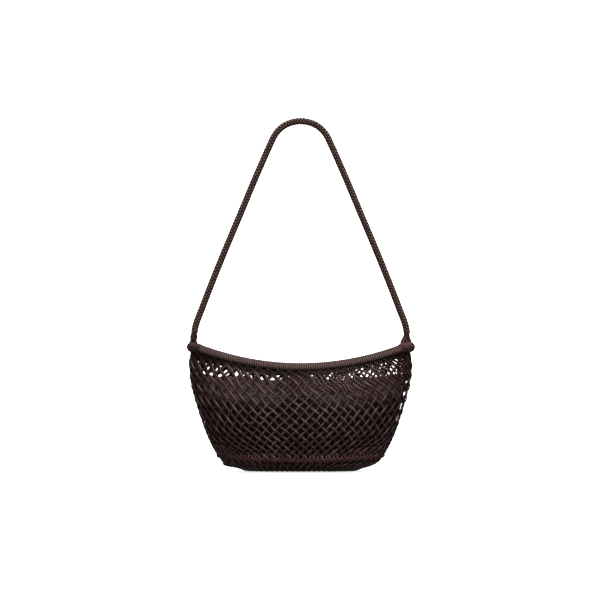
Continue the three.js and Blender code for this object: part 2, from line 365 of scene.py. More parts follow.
def braid(name, line, side, plan, closed=False):
    # cords round a line both ways, each over one and under the next
    length = resample(line, lineStep, closed)[1]
    turns = round(length / (plan["lay"] * mm))
    heart = resample(line, length / (turns * plan["perTurn"]), closed)[0]
    tangent = directions(heart, closed)
    side = np.broadcast_to(np.asarray(side, float), heart.shape)
    side = unit(side - tangent * np.sum(side * tangent, 1, keepdims=True))
    other = np.cross(tangent, side)
    turn = (np.arange(len(heart)) / plan["perTurn"] * 2 * math.pi)[:, None]
    routes = []
    for way in (1, -1):
        for n in range(plan["ply"]):
            angle = way * turn + (2 * n + 0.5) * math.pi / plan["ply"]
            radius = (plan["middle"] + way * plan["swing"] * np.cos(plan["ply"] * turn)) * mm
            routes.append(heart + radius * (np.cos(angle) * side + np.sin(angle) * other))
    outer = plan["middle"] + plan["swing"] + plan["cord"] / 2
    reach = (outer - plan["cord"] * plan["wornAndShaded"], outer)
    return cordPiece(name, routes, plan["cord"], plan["sides"], closed, [heart] * len(routes), reach=reach)


strapLine = [(-x, 0, z) for x, z in strapHalf[:0:-1]] + [(x, 0, z) for x, z in strapHalf]
strapLine = smoothRoute(strapLine) * mm
strapPath, strapLength = resample(strapLine, strapPlan["pathStep"] * mm)
strap = braid("braidedStrap", strapLine, (0, 1, 0), strapPlan)
print("strap braided, length", round(strapLength, 4), "m")

# Net: loops of flat strip hung on the rim, woven over one and under the next down to the flat of the base.
# Rows are counted up from the base seam, each half a diamond high, and diamonds round from the right end.
# Three numbers together say how much of something there is, and between which rows or millimetres it comes
# in, counted down or to the left where the code has a minus.
netPlan = {
    # loops round the rim, the row where they turn, just inside it, and crossings from the base seam up to
    # the rim and down to the flat of the base
    "loops": 50, "topRow": 18.3, "halfRows": 18, "baseRows": 4,
    # share by which rows are closer at the base, and wider apart at the rim
    "closer": 0.17,
    # a flat strip, whose edges are square below 1, and its points from one crossing to the next
    "width": 3.1, "thick": 1.7, "edge": 0.6, "steps": 4,
    # grid that the net is laid on: rows between its lines, and its columns for each loop
    "gridStep": 0.1, "gridColumns": 8,
    # left corner of the base, which stands out
    "corner": (6.0, 70, 92), "cornerHeight": 8.0, "cornerReach": 3.2,
    # half rows that a loop takes to turn
    "arch": 1.3, "archSteps": 8,
    # sideways lean that grows above a row
    "slew": 0.003, "slewRow": 6,
    # diamonds by which the upper net is pulled to the middle, and where round the bag
    "pull": 1.0, "pullRows": (5, 14), "pullAt": 0.885, "pullReach": 0.08,
    # share by which the upper diamonds are narrower at the two ends
    "gather": (0.14, 0, 10),
    # half rows by which the lower net sinks towards the left and the right end
    "droop": (1.3, 0.7), "ends": (1, 40, 105), "droopFrom": (1, 0, 4), "droopTo": (1, -12, -6),
    # unevenness in diamonds, more of it near the rim, and more up and down than sideways; how fast it
    # changes round the bag and up it, where it starts each way, and the rows held at the ends of a loop
    "wander": 0.05, "loose": (0.24, 12, 17), "wanderTall": 1.6, "wanderStep": (4.2, 0.33),
    "wanderStart": (0, 31.7), "held": 2,
    # rise and fall over the crossings below the top of a loop, more at the very ends of the bag
    "swing": 0.45, "swingFrom": (1, 0.1, 0.9), "knobs": (1, 118, 138), "knobbly": 1.3,
    # share by which the right legs lie over the left ones near the rim, and under them below the seam
    "over": (0.4, 9, 15), "under": (0.45, 0, 1),
    # share by which a strip is wider where it is looped back on itself: under the rim but not at its right,
    # at the right end, where the skin faces left and at the left corner of the base
    "fold": 0.45, "foldRim": (1, 14, 17), "foldPart": (1, -20, 60), "foldKnob": (1, 12, 15),
    "foldSide": (1, 0.7, 0.88), "foldBase": (1, 0.5, 1.5),
    # and where it is tied down at the base seam
    "tied": (0.35, -1.8, -0.3), "tiedAt": 0.6,
    # width of the thin loops between the others at the right of the rim, how far down they reach, and from
    # which to which diamond, both ways
    "finer": 0.6, "finerRows": 4.6, "finerSpan": (2, 13),
    # depth at which cords count as lying deep and get painted shade, and the share of painted shade on
    # those under the rim and at the bottom of the base
    "shade": 2.0, "dimRim": (0.85, 16.7, 18), "dimBase": (0.5, 2, 3.2),
    # wear: more on upper strips near the rim, and not the same from one crossing to the next; painted shade
    # on strips that lie under below the seam, and painted dimming low down to the seam and at the two ends
    "wornOver": 0.25, "dimLow": (0.4, -11, -2), "dimLowSeam": (1, -1.5, 0), "dimEnds": (0.5, 95, 135),
    "patchy": 1.2, "patchStep": (1.37, 4.3, 0.85),
}
gridRows = np.arange(-netPlan["baseRows"] - 0.5, netPlan["topRow"] + 1, netPlan["gridStep"])
gridColumns = netPlan["loops"] * netPlan["gridColumns"]


def netBand(value, name):
    amount, low, high = netPlan[name]
    return amount * smooth(value, low, high)


skinGrid = []
for row in gridRows:
    if row >= 0:
        share = row / netPlan["halfRows"]
        share = (1 - netPlan["closer"]) * share + netPlan["closer"] * share * share
        height = bagForm["netBottom"] + (bagForm["netTop"] - bagForm["netBottom"]) * share
    else:
        height = bagForm["netBottom"] * (1 + row / netPlan["baseRows"])
    x, y, angle = planLoop(skinRows, height, gridColumns)
    z = skinHeight(height, x, angle)
    square = np.exp(-((z - netPlan["cornerHeight"]) / netPlan["cornerReach"]) ** 2)
    x = x - netBand(-x, "corner") * square
    # the cords lie on the floor with their full depth
    z = z + netPlan["thick"] * (1 - smooth(z, 0, bagForm["seamHeight"]))
    skinGrid.append(np.stack([x, y, z - bagForm["hangHeight"]], 1) * mm)
skinGrid = np.array(skinGrid)
alongGrid = np.roll(skinGrid, -1, 1) - np.roll(skinGrid, 1, 1)
outGrid = unit(np.cross(alongGrid, np.gradient(skinGrid, axis=0)))


def onSkin(cell, row):
    # point of the skin at a place of the lattice, and the way out from it
    column = (cell % netPlan["loops"]) * netPlan["gridColumns"]
    line = min(max((row - gridRows[0]) / netPlan["gridStep"], 0), len(gridRows) - 1.001)
    c0, r0 = int(column), int(line)
    fc, fr = column - c0, line - r0
    c0, c1 = c0 % gridColumns, (c0 + 1) % gridColumns

    def mix(grid):
        low = grid[r0, c0] * (1 - fc) + grid[r0, c1] * fc
        high = grid[r0 + 1, c0] * (1 - fc) + grid[r0 + 1, c1] * fc
        return low * (1 - fr) + high * fr

    return mix(skinGrid), mix(outGrid)


def wander(cell, row, start):
    # slow unevenness of the hand-made net, the same for both cords of a crossing
    turn = cell / netPlan["loops"] * 2 * math.pi
    aroundStep, rowStep = netPlan["wanderStep"]
    spot = Vector((math.cos(turn) * aroundStep, math.sin(turn) * aroundStep + start, row * rowStep))
    return noise.noise(spot) * (netPlan["wander"] + netBand(row, "loose")) * 2


def netCell(index, way, drop, row):
    # where round the bag the left or right leg of a loop is, in diamonds
    spread = 0.5 * drop + 0.5 * math.sqrt(1 - (1 - min(drop / netPlan["arch"], 1)) ** 2)
    slew = -netPlan["slew"] * max(0, row - netPlan["slewRow"]) ** 2
    cell = index + 0.5 + way * spread + slew
    away = ((cell / netPlan["loops"]) % 1 - netPlan["pullAt"]) / netPlan["pullReach"]
    cell -= netPlan["pull"] * math.exp(-away * away) * np.interp(row, netPlan["pullRows"], (0, 1))
    ends = 4 * math.pi / netPlan["loops"]
    return cell - netBand(row, "gather") * math.sin(ends * cell) / ends


def netSpot(cell, row, drop):
    # point of the net, the way out from it, and 1 where it is at the left end of the bag
    free = min(1, drop / netPlan["held"]) * min(1, max(0, 1 + row / netPlan["held"]))
    across = onSkin(cell, row)[0][0] / mm
    leftward = netBand(-across, "ends")
    droop = netPlan["droop"][0] * leftward + netPlan["droop"][1] * netBand(across, "ends")
    droop *= netBand(row, "droopFrom") * netBand(-row, "droopTo")
    sideways, tall = (wander(cell, row, start) * free for start in netPlan["wanderStart"])
    point, normal = onSkin(cell + sideways, row - droop + tall * netPlan["wanderTall"])
    return point, normal, leftward


def netLoop(index, below, thin=1):
    # one loop: up its left leg from a row below the seam, round under the rim and down its right leg
    top, arch = netPlan["topRow"], netPlan["arch"]
    turned = arch * (1 - np.cos(np.linspace(0, math.pi / 2, netPlan["archSteps"])))
    straight = top - arch + below
    steps = round(straight * netPlan["steps"]) + 1
    drops = np.concatenate([turned, arch + np.linspace(0, straight, steps)[1:]])
    legs = [(-1, d) for d in drops[::-1]] + [(1, d) for d in drops[1:]]
    route, heart, out, tone, wide = [], [], [], [], []
    for way, drop in legs:
        row = top - drop
        point, normal, leftward = netSpot(netCell(index, way, drop, row), row, drop)
        across = point[0] / mm
        knob = netBand(abs(across), "knobs")
        over, under = netBand(row, "over"), netBand(-row, "under")
        weave = (1 - over) * math.cos(math.pi * drop) * netBand(drop, "swingFrom") + over
        swing = netPlan["swing"] * (1 + netPlan["knobbly"] * knob)
        # painted shade under the rim and at the bottom of the base
        shaded = max(netBand(row, "dimRim"), netBand(-row, "dimBase"))
        route.append(point + normal * way * swing * (weave - under) * mm)
        heart.append(point + normal * netPlan["shade"] * shaded * mm)
        out.append(normal)
        # painted shade on strips that lie under below the seam, and painted dimming low down and at the two
        # ends, lower the tone
        facing = netPlan["wornOver"] * way * over - (0.5 + 0.5 * way) * under
        paintedDim = netBand(-row, "dimLow") * netBand(row, "dimLowSeam")
        paintedDim += netBand(abs(across), "dimEnds")
        patch = Vector([step * n for step, n in zip(netPlan["patchStep"], (index, way, row))])
        own = min(1, max(0, 0.5 + netPlan["patchy"] * noise.noise(patch)))
        tone.append(own * (1 - shaded) - shaded + facing - paintedDim)
        fold = netBand(-across, "foldPart") * netBand(row, "foldRim")
        if across < 0:
            fold += max(knob, netBand(-normal[0], "foldSide"))
        else:
            fold += knob * netBand(row, "foldKnob")
        fold += leftward * netBand(-row, "foldBase")
        tied = netBand(-abs(row - netPlan["tiedAt"]), "tied")
        wide.append((1 + netPlan["fold"] * fold + tied) * thin)
    return np.array(route), np.array(heart), np.array(out), tone, wide


# Heading: cords that run round under the rim, which the loops hang on, lower at the left of the front
headingPlan = {
    "left": (17.8, 17.35),  # rows of the two cords
    "right": (17.9, 17.7),
    "inset": 1.2,
    "wide": 1.7,
    "round": (0.25, 1.26),  # from the middle of the back and a little past it
    "steps": 300,
    "ripple": 0.08,
    "rippleStep": 2.7,
}


def headingRing(left, right):
    route, heart, out, wide = [], [], [], []
    for cell in np.linspace(*headingPlan["round"], headingPlan["steps"]) * netPlan["loops"]:
        lower = netBand(-onSkin(cell, right)[0][0] / mm, "foldPart")
        wide.append(1 + (headingPlan["wide"] - 1) * lower)
        ripple = headingPlan["ripple"] * math.sin(cell * headingPlan["rippleStep"])
        point, normal = onSkin(cell, right + (left - right) * lower + ripple)
        route.append(point - normal * headingPlan["inset"] * mm)
        # painted shade: the heading counts as lying deep and has the lowest tone, so it is dark all over,
        # as in the shadow under the rim
        heart.append(point + normal * netPlan["shade"] * mm)
        out.append(normal)
    return np.array(route), np.array(heart), np.array(out), [-1] * len(route), wide


netLoops = [netLoop(k, netPlan["baseRows"]) for k in range(netPlan["loops"])]
finerEnd = netPlan["finerRows"] - netPlan["topRow"]
for k in range(*netPlan["finerSpan"]):
    netLoops += [netLoop(way * (k + 0.5), finerEnd, netPlan["finer"]) for way in (-1, 1)]
netLoops += [headingRing(left, right) for left, right in zip(headingPlan["left"], headingPlan["right"])]
netReach = netPlan["swing"] + netPlan["thick"] / 2
net = cordPiece(
    "nettedCords", [n[0] for n in netLoops], netPlan["width"], hearts=[n[1] for n in netLoops],
    normals=[n[2] for n in netLoops], thick=netPlan["thick"], edge=netPlan["edge"],
    reach=(-netReach, netReach), tones=np.concatenate([n[3] for n in netLoops]),
    widths=np.concatenate([n[4] for n in netLoops]),
)
print("net woven,", netPlan["loops"], "loops")


def ropeFrame(line, closed):
    # upward and outward directions along the rim
    tangent = directions(line, closed)
    up = unit(upward - tangent * tangent[:, 2:])
    return up, np.cross(tangent, up)


# Rim: a padded rope with fine lace bound round it. Light and shade are painted into its colour, as told by
# how far a place faces up, from -1 to 1: painted light on its front, painted shade on its underside and a
# little on its top.
rimPlan = {
    "pitch": 2.9,
    "lace": 2.8,
    "thick": 1.7,
    "perTurn": 14,
    "wornAndShaded": 0.1,         # depth below the middle of the lace from which it goes from painted shade in the grooves to rubbed on top
    # where the lace turns from painted shade on its underside to painted light on its front, and to painted
    # shade again on its top
    "paleFrom": (-1.0, -0.3),
    "paleTo": (-0.1, 0.9),
    "topPaintedShade": 0.95,
    "core": 4.2,           # radius of the rope
    "coreSides": 16,
    "coreStep": 4,
    "coreReach": (0, 50),  # so far that the rope, which is covered, counts as deep and is all painted shade
}
rimLine = np.array([rimPoint(a) for a in np.linspace(0, 2 * math.pi, ovalSteps, endpoint=False)])
rimLength = resample(rimLine, lineStep, True)[1]
rimTurns = round(rimLength / (rimPlan["pitch"] * mm))
rimHeart = resample(rimLine, rimLength / (rimTurns * rimPlan["perTurn"]), True)[0]
rimUp, rimOut = ropeFrame(rimHeart, True)
rimTurn = (np.arange(len(rimHeart)) / rimPlan["perTurn"] * 2 * math.pi)[:, None]
rimReach = bagForm["rimRadius"] - rimPlan["thick"] / 2
rimNormal = np.cos(rimTurn) * rimUp + np.sin(rimTurn) * rimOut
rimUpward = np.cos(rimTurn).ravel()
rimPaintedLight = smooth(rimUpward, *rimPlan["paleFrom"])
rimPaintedLight = rimPaintedLight * (1 - rimPlan["topPaintedShade"] * smooth(rimUpward, *rimPlan["paleTo"]))
rimLace = cordPiece(
    "rimBinding", [rimHeart + rimReach * mm * rimNormal], rimPlan["lace"], closed=True, hearts=[rimHeart],
    normals=[rimNormal], thick=rimPlan["thick"], reach=(rimReach - rimPlan["wornAndShaded"], bagForm["rimRadius"]),
    tones=rimPaintedLight,
)
rimCore = cordPiece(
    "rimRope", [resample(rimLine, rimPlan["coreStep"] * mm, True)[0]], 2 * rimPlan["core"],
    rimPlan["coreSides"], True, reach=rimPlan["coreReach"],
)
print("rim bound,", rimTurns, "turns")

# Base seam: a small braid round the edge of the base
# the braid's cords get painted shade where they lie deep in it and are paler where they stand out
seamPlan = {
    "ply": 2, "cord": 2.3, "sides": 6, "middle": 1.15, "swing": 0.45, "lay": 6.4, "perTurn": 14,
    "inset": 1.2, "wornAndShaded": 0.45,
}
seamX, seamY, seamAngle = planLoop(skinRows, bagForm["seamHeight"], ovalSteps)
seamZ = skinHeight(bagForm["seamHeight"], seamX, seamAngle) - bagForm["hangHeight"]
seamIn = 1 - seamPlan["inset"] / bagForm["seamHalfWidth"]
seamLine = np.stack([seamX * seamIn, seamY, seamZ], 1) * mm
seam = braid("baseSeamBraid", seamLine, (0, 0, 1), seamPlan, True)
# ties that hold the net down on the seam: out from the seam and up, in millimetres
tiePlan = {
    "cord": 1.3,
    "sides": 6,
    "count": 100,
    "perSpan": 3,    # points between those of its turn
    "height": 0.8,   # share of the turn's height
    "taller": 0.35,  # and at most this much more
    "lean": 2.2,     # most that a tie leans to either side
    # distance from the seam over which a tie goes from painted shade to rubbed pale
    "reach": (2.0, 4.8),
}
tieTurn = [
    (-1.2, -2.6), (1.4, -2.8), (2.9, -1.2), (3.1, 0.8), (2.7, 3.0), (1.9, 5.0), (0.6, 6.2), (-1.2, 6.6),
]
tieRoutes = []
tieHearts = []
seamAlong = directions(seamLine, True)
for k in range(tiePlan["count"]):
    n = round((k + 0.5) / tiePlan["count"] * len(seamLine)) % len(seamLine)
    outward = unit(np.cross(seamAlong[n], upward))
    turn = smoothRoute(tieTurn, tiePlan["perSpan"]) * mm
    turn[:, 1] *= tiePlan["height"] + tiePlan["taller"] * dice.random()
    lean = np.linspace(-1, 1, len(turn)) * tiePlan["lean"] * (2 * dice.random() - 1) * mm
    tieHearts.append(np.tile(seamLine[n], (len(turn), 1)))
    upright = turn[:, :1] * outward + turn[:, 1:] * upward
    tieRoutes.append(seamLine[n] + upright + lean[:, None] * seamAlong[n])
ties = cordPiece(
    "baseSeamTies", tieRoutes, tiePlan["cord"], tiePlan["sides"], hearts=tieHearts, reach=tiePlan["reach"],
)
print("base seam braided and tied")

# Base: flat strips woven both ways under the bag
basePlan = {
    "pitch": 6.0, "strip": 5.6, "thick": 1.1, "swing": 0.55, "height": 1.9, "reach": (-0.6, 0.6),
    "halfWidth": 71,
    "halfDepth": 27,
    "oval": 2.3,  # 2 is an ellipse, more is squarer
    "steps": 4,   # points in each pitch
    "fewest": 6,  # and at least in a strip
}


def stripRoutes(halfRun, halfSpread, alongX):
    routes = []
    pitch, power = basePlan["pitch"], basePlan["oval"]
    count = int(halfSpread // pitch)
    for n in range(-count, count + 1):
        across = n * pitch
        reach = halfRun * (1 - abs(across / halfSpread) ** power) ** (1 / power)
        points = max(basePlan["fewest"], int(2 * reach / (pitch / basePlan["steps"])))
        run = np.linspace(-reach, reach, points)
        lift = np.cos(math.pi * run / pitch) * (1 if n % 2 else -1) * (1 if alongX else -1)
        height = basePlan["height"] + basePlan["swing"] * lift - bagForm["hangHeight"]
        sideways = np.full(len(run), across)
        routes.append(np.stack([run, sideways, height] if alongX else [sideways, run, height], 1) * mm)
    return routes


baseRoutes = stripRoutes(basePlan["halfWidth"], basePlan["halfDepth"], True)
baseRoutes += stripRoutes(basePlan["halfDepth"], basePlan["halfWidth"], False)
baseNormals = [np.tile(-upward, (len(route), 1)) for route in baseRoutes]
# strips that lie under get painted shade, those over are paler
base = cordPiece(
    "baseStrips", baseRoutes, basePlan["strip"], normals=baseNormals, thick=basePlan["thick"],
    reach=basePlan["reach"],
)
print("base woven,", len(baseRoutes), "strips")

# Inner pouch: soft cloth, open at the top, gathered in the middle of its edge
pouchPlan = {
    "edge": 118,            # height of its edge
    "peak": 12,             # more of it in the middle
    "peakReach": 17,
    "endRise": 10,          # and at the two ends
    "floor": 3.2,
    "floorShare": 0.08,     # share of the grid's rows that lie on the floor
    "thick": 1.4,
    "sides": 240,
    "rows": 48,
    "cloth": (0.55, 0.14),  # size of its UV map in metres, round and up
    "foldsIn": 0.6,         # by which the folds lie further in
    "foldsFrom": 4,         # they are full from a quarter of the height up
    "flutes": 10,           # waves round the edge
    "fluteSize": 1.5,
    "edgeSway": 1.6,        # up and down along the edge
    "swayStep": 0.06,
    "swayStart": 2,
}
# Folds: steps across, deep and up for each millimetre, where the noise starts, size
pouchFolds = [
    (0.035, 0.05, 0.012, 5, 2.4),
    (0.11, 0.1, 0.03, 9, 0.8),
]
# Sections of the pouch: share of its height, half width, half depth, corner
pouchRows = [
    (0, 62, 21, 0.85),
    (0.06, 83, 30, 0.85),
    (0.25, 109, 39, 0.85),
    (0.55, 125, 42, 0.85),
    (0.82, 134, 38, 0.85),
    (1, 138.5, 33, 0.85),
]
pouchLoops = {}


def pouchPlace(u, v):
    floorShare = pouchPlan["floorShare"]
    share = max(0.0, (v - floorShare) / (1 - floorShare))
    key = round(share, 6)
    if key not in pouchLoops:
        pouchLoops[key] = planLoop(pouchRows, share, pouchPlan["sides"])
    k = round(u * pouchPlan["sides"]) % pouchPlan["sides"]
    x, y, angle = (part[k] for part in pouchLoops[key])
    inward = min(1.0, v / floorShare)
    x, y = x * inward, y * inward
    edge = pouchPlan["edge"] + pouchPlan["peak"] * math.exp(-(x / pouchPlan["peakReach"]) ** 2)
    edge += pouchPlan["endRise"] * (x / pouchRows[-1][1]) ** 2
    z = pouchPlan["floor"] + share * (edge - pouchPlan["floor"])
    if v <= floorShare:
        return inFrame(x, y, z)
    folds = -pouchPlan["foldsIn"]
    for across, deep, up, start, size in pouchFolds:
        folds += noise.noise(Vector((x * across, y * deep, z * up + start))) * size
    flutes = pouchPlan["fluteSize"] * share ** 2 * math.cos(pouchPlan["flutes"] * angle)
    swell = folds * min(1, share * pouchPlan["foldsFrom"]) + flutes
    sway = Vector((x * pouchPlan["swayStep"], y * pouchPlan["swayStep"], pouchPlan["swayStart"]))
    z += noise.noise(sway) * pouchPlan["edgeSway"] * share ** 3
    length = math.hypot(x, y)
    return inFrame(x + x / length * swell, y + y / length * swell, z)


pouch = gridPiece("innerPouch", pouchPlan["sides"], pouchPlan["rows"], pouchPlace, pouchPlan["cloth"])
pouchWall = pouch.modifiers.new("wall", "SOLIDIFY")
pouchWall.thickness = pouchPlan["thick"] * mm
pouchWall.offset = -1
print("pouch made")

# End wraps: leather over the rim where it turns from front to back. The left one is a smooth piece whose
# edge shows as a slanting crease, the right one is wound with lace.
wrapPlan = {
    "left": {"middle": 180, "radius": 5.6, "rise": 0.9, "pitch": 18, "slant": -1, "start": 7.2},
    "right": {"middle": 0, "radius": 5.8, "rise": 0.8, "pitch": 2.8, "slant": 3.4, "start": 0},
    "bulge": 0.8,
    "points": 181,              # of the line that it follows
    "rings": 160,
    "sides": 48,
    "girth": 0.04,              # UV size round it, in metres
    "edgeShade": 2.6,            # painted shade this near to an end, where it meets the lace
    "creaseShade": 2,            # and painted shade this near to the crease
    "creaseFrom": (-0.5, 0.2),  # but not under the rim, told by how far a place faces up
    "woundIn": 0.6,             # share of the relief that lies further in
    "smoothIn": 0.5,
    "closing": 0.025,           # share of its length in which an end turns in to the rim
    "sunk": 0.6,                # by which the end goes into the lace
}


def wrapPiece(name, plan, wound):
    half = bagForm["wrapTurn"]
    degrees = plan["middle"] + np.linspace(-half, half, wrapPlan["points"])
    line = np.array([rimPoint(math.radians(a)) for a in degrees])
    length = resample(line, lineStep)[1]
    rings = wrapPlan["rings"]
    heart = resample(line, length / rings)[0]
    up, out = ropeFrame(heart, False)
    inner = bagForm["rimRadius"] - wrapPlan["sunk"]

    def turns(u, v):
        # winding turns up to a place, which slant across the front
        return (v * length / mm - plan["start"] + plan["slant"] * math.cos(2 * math.pi * u)) / plan["pitch"]

    # how far a place stands out: low in the grooves between wound turns, near the ends and at the crease,
    # where it gets painted shade
    def lift(u, v):
        if wound:
            return abs(math.sin(math.pi * turns(u, v)))
        nearEnd = min(v, 1 - v) * length / mm
        crease = abs((turns(u, v) + 0.5) % 1 - 0.5) * plan["pitch"]
        below = 1 - smooth(math.cos(2 * math.pi * u), *wrapPlan["creaseFrom"])
        return min(1, nearEnd / wrapPlan["edgeShade"], crease / wrapPlan["creaseShade"] + below)

    def place(u, v):
        k = round(v * rings)
        angle = 2 * math.pi * u
        relief = lift(u, v) - wrapPlan["woundIn"] if wound else wrapPlan["smoothIn"] - turns(u, v) % 1
        outer = plan["radius"] + plan["rise"] * relief + wrapPlan["bulge"] * math.sin(math.pi * v) ** 2
        close = 1 - (1 - min(1, v / wrapPlan["closing"], (1 - v) / wrapPlan["closing"])) ** 2
        radius = (inner * (1 - close) + outer * close) * mm
        return Vector(heart[k] + radius * (math.cos(angle) * up[k] + math.sin(angle) * out[k]))

    return gridPiece(name, wrapPlan["sides"], rings, place, (wrapPlan["girth"], length), lift)


wrapLeft = wrapPiece("endWrapLeft", wrapPlan["left"], False)
wrapRight = wrapPiece("endWrapRight", wrapPlan["right"], True)

# Strap feet: the braid's cords end on the wrap. The left foot is straight and held by a collar, the right
# one spreads out over the wrap. Widths are from the top of a foot to its end.
footPlan = {
    "left": {
        "side": -1, "cord": 3.2, "drop": 13, "lean": -1.3, "widths": (2.8, 3.2, 3.4, 3.4),
        "collar": 4.2, "twist": (2.3, -2.3), "pale": 8.0,
    },
    "right": {
        "side": 1, "cord": 3.0, "drop": 16.5, "lean": -1.4, "widths": (2.5, 2.4, 3, 4.6, 6, 6.4),
        "collar": 0, "twist": (0.6, 0.6), "pale": 11.0,
    },
    "cords": 8,
    "points": 16,
    "above": 1.4,         # by which they start above the end of the braid
    "wornFrom": 2.2,
    "collarDrop": 13.2,
    "collarTilt": 0.3,    # lower in front
    "collarTurn": 2.04,   # half turns
    "collarPoints": 40,
    "filler": (0.8, 17),  # spread and drop of two cords that fill the middle
}


def footPiece(name, plan):
    footX, footZ = strapHalf[-1]
    footX *= plan["side"]
    t = np.linspace(0, 1, footPlan["points"])
    wide = np.interp(t, np.linspace(0, 1, len(plan["widths"])), plan["widths"])
    routes = []
    for k in range(footPlan["cords"]):
        twist = 2 * math.pi * (k + 0.5) / footPlan["cords"] + plan["twist"][k % 2] * t
        x = footX + plan["lean"] * t + wide * np.cos(twist)
        z = footZ + footPlan["above"] - plan["drop"] * t
        routes.append(np.stack([x, wide * np.sin(twist), z], 1) * mm)
    if plan["collar"]:
        turn = np.linspace(0, footPlan["collarTurn"] * math.pi, footPlan["collarPoints"])
        x = footX + plan["lean"] + plan["collar"] * np.cos(turn)
        y = plan["collar"] * np.sin(turn)
        z = footZ - footPlan["collarDrop"] + footPlan["collarTilt"] * y
        routes.append(np.stack([x, y, z], 1) * mm)
    spread, drop = footPlan["filler"]
    for side in (-1, 1):
        routes.append(np.stack([footX + side * t * spread, 0 * t, footZ - drop * t], 1) * mm)
    hearts = [np.stack([np.full(len(r), footX * mm), np.zeros(len(r)), r[:, 2]], 1) for r in routes]
    # cords near the middle of a foot get painted shade, those further out are rubbed pale
    reach = (footPlan["wornFrom"], plan["pale"])
    return cordPiece(name, routes, plan["cord"], hearts=hearts, reach=reach)


footLeft = footPiece("strapFootLeft", footPlan["left"])
footRight = footPiece("strapFootRight", footPlan["right"])
print("ends wrapped")


def perMetre(size):
    # noise scale for a pattern of a size in millimetres
    return float(round(1 / (size * mm)))


# Cord leather: waxed cowhide lace, dark brown with a satin gloss, pale where it is rubbed, with painted
# shade that makes it nearly black between the cords
hidePlan = {
    "cloud": {"Scale": perMetre(8.3), "Detail": 3.0},
    "grain": {"Scale": perMetre(0.5), "Detail": 2.0},
    "ramp": (0.4, 0.95),
    "deepTo": 0.55,    # lift up to which a cord gets painted shade, as between the cords
    "wornFrom": 0.6,   # lift from which it is rubbed
    "lowerEdgeShade": 0.1,  # brightness of the painted shadow along a strip's lower edge
    "roughLess": 0.08,
    "roughMore": 0.1,
    "bump": {"Strength": 0.3, "Distance": 0.2 * mm},
    "shader": {"IOR": 1.5, "Specular IOR Level": 0.13},
}
times = {"operation": "MULTIPLY"}
# deep is how much colour is left in the painted shade between cords; the pale colour is that of rubbed
# leather and also of the painted highlight along a strip's upper edge
leatherKeys = ("dark", "light", "pale", "deep", "rough", "wear", "tone", "rub", "edgeLightShade")
leatherRows = {
    "waxedLeatherCord": ("#241310", "#3a231e", "#a18d88", 0.2, 0.27, 0.05, 0.35, 0.9, 1.2),
    "braidedLeatherCord": ("#2b1713", "#442c27", "#9c817b", 0.35, 0.42, 0.85, 0.35, 0.0, 0.0),
    "boundLeatherLace": ("#2b1912", "#47332f", "#836d69", 0.2, 0.45, 0.7, 0.9, 1.0, 0.0),
    "seamLeatherCord": ("#281411", "#3e241f", "#8c6862", 0.35, 0.42, 0.8, 0.35, 0.9, 0.0),
    "wrapLeather": ("#301d18", "#46302a", "#5f4c46", 0.12, 0.62, 0.0, 0.35, 0.0, 0.0),
    "woundLeatherLace": ("#301c17", "#46302a", "#6c534c", 0.12, 0.6, 0.4, 0.35, 0.0, 0.0),
}


